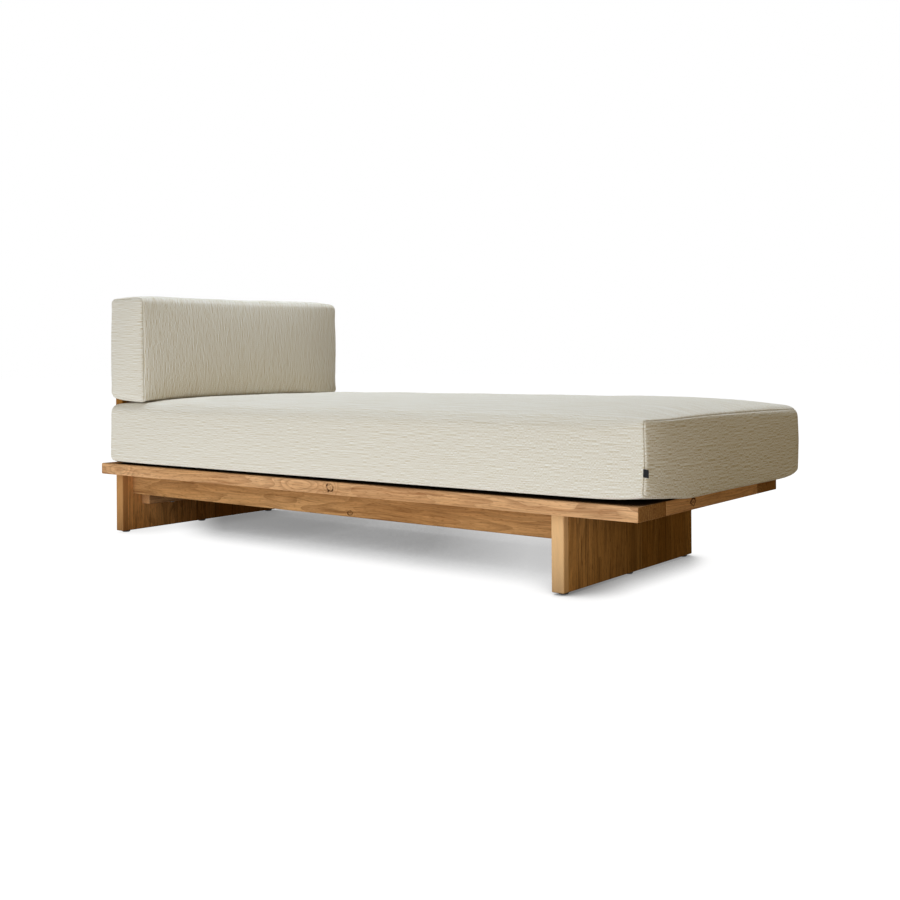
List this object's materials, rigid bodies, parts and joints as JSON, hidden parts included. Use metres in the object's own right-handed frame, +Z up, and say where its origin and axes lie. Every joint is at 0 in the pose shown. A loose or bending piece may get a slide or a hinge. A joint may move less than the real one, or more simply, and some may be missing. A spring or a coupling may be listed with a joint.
{
  "type": "outdoor daybed",
  "caption": "Low outdoor daybed: a slatted teak platform on slab legs with a back panel at the head, a thick loose mattress and a loose back cushion.",
  "frame": {"origin": "on the floor, under the middle of the whole daybed's box", "axes": "+Z up, +X from the head with the back panel to the foot, +Y from the front to the rear"},
  "size_m": [1.992, 0.9, 0.7739],
  "materials": {
    "teak": "planed and oiled, eased edges",
    "dowel_wood": "turned, unfinished",
    "steel": "zinc plated",
    "nylon": "moulded",
    "outdoor_weave": "oatmeal melange weave",
    "label_tape": "blank woven tape"
  },
  "bodies": {
    "frame": {"front_long_rail": "teak", "rear_long_rail": "teak", "head_cross_rail": "teak", "middle_cross_rail": "teak", "leg_cross_rail": "teak", "foot_cross_rail": "teak", "head_bay_front_ledger": "teak", "head_bay_rear_ledger": "teak", "foot_bay_front_ledger": "teak", "foot_bay_rear_ledger": "teak", "slat_01": "teak", "slat_02": "teak", "slat_03": "teak", "slat_04": "teak", "slat_05": "teak", "slat_06": "teak", "slat_07": "teak", "slat_08": "teak", "slat_09": "teak", "slat_10": "teak", "front_apron": "teak", "rear_apron": "teak", "head_leg": "teak", "foot_leg": "teak", "head_leg_cleat": "teak", "foot_leg_cleat": "teak", "back_panel": "teak", "head_dowel_1": "dowel_wood", "head_dowel_2": "dowel_wood", "head_dowel_3": "dowel_wood", "foot_dowel_1": "dowel_wood", "foot_dowel_2": "dowel_wood", "foot_dowel_3": "dowel_wood", "head_rail_bolt_1": "steel", "head_rail_bolt_2": "steel", "head_leg_bolt_1": "steel", "head_leg_bolt_2": "steel", "foot_rail_bolt_1": "steel", "foot_rail_bolt_2": "steel", "foot_leg_bolt_1": "steel", "foot_leg_bolt_2": "steel", "head_glide_1": "nylon", "head_glide_2": "nylon", "head_glide_3": "nylon", "foot_glide_1": "nylon", "foot_glide_2": "nylon", "foot_glide_3": "nylon"},
    "mattress": {"mattress": "outdoor_weave", "seam_label": "label_tape"},
    "back_cushion": {"back_cushion": "outdoor_weave"}
  },
  "joints": [
    {"name": "mattress_lift", "type": "slide", "parent": "frame", "child": "mattress", "axis": [0, 0, 1], "range_m": [0, 0.5]},
    {"name": "back_cushion_lift", "type": "slide", "parent": "mattress", "child": "back_cushion", "axis": [0, 0, 1], "range_m": [0, 0.3]}
  ]
}
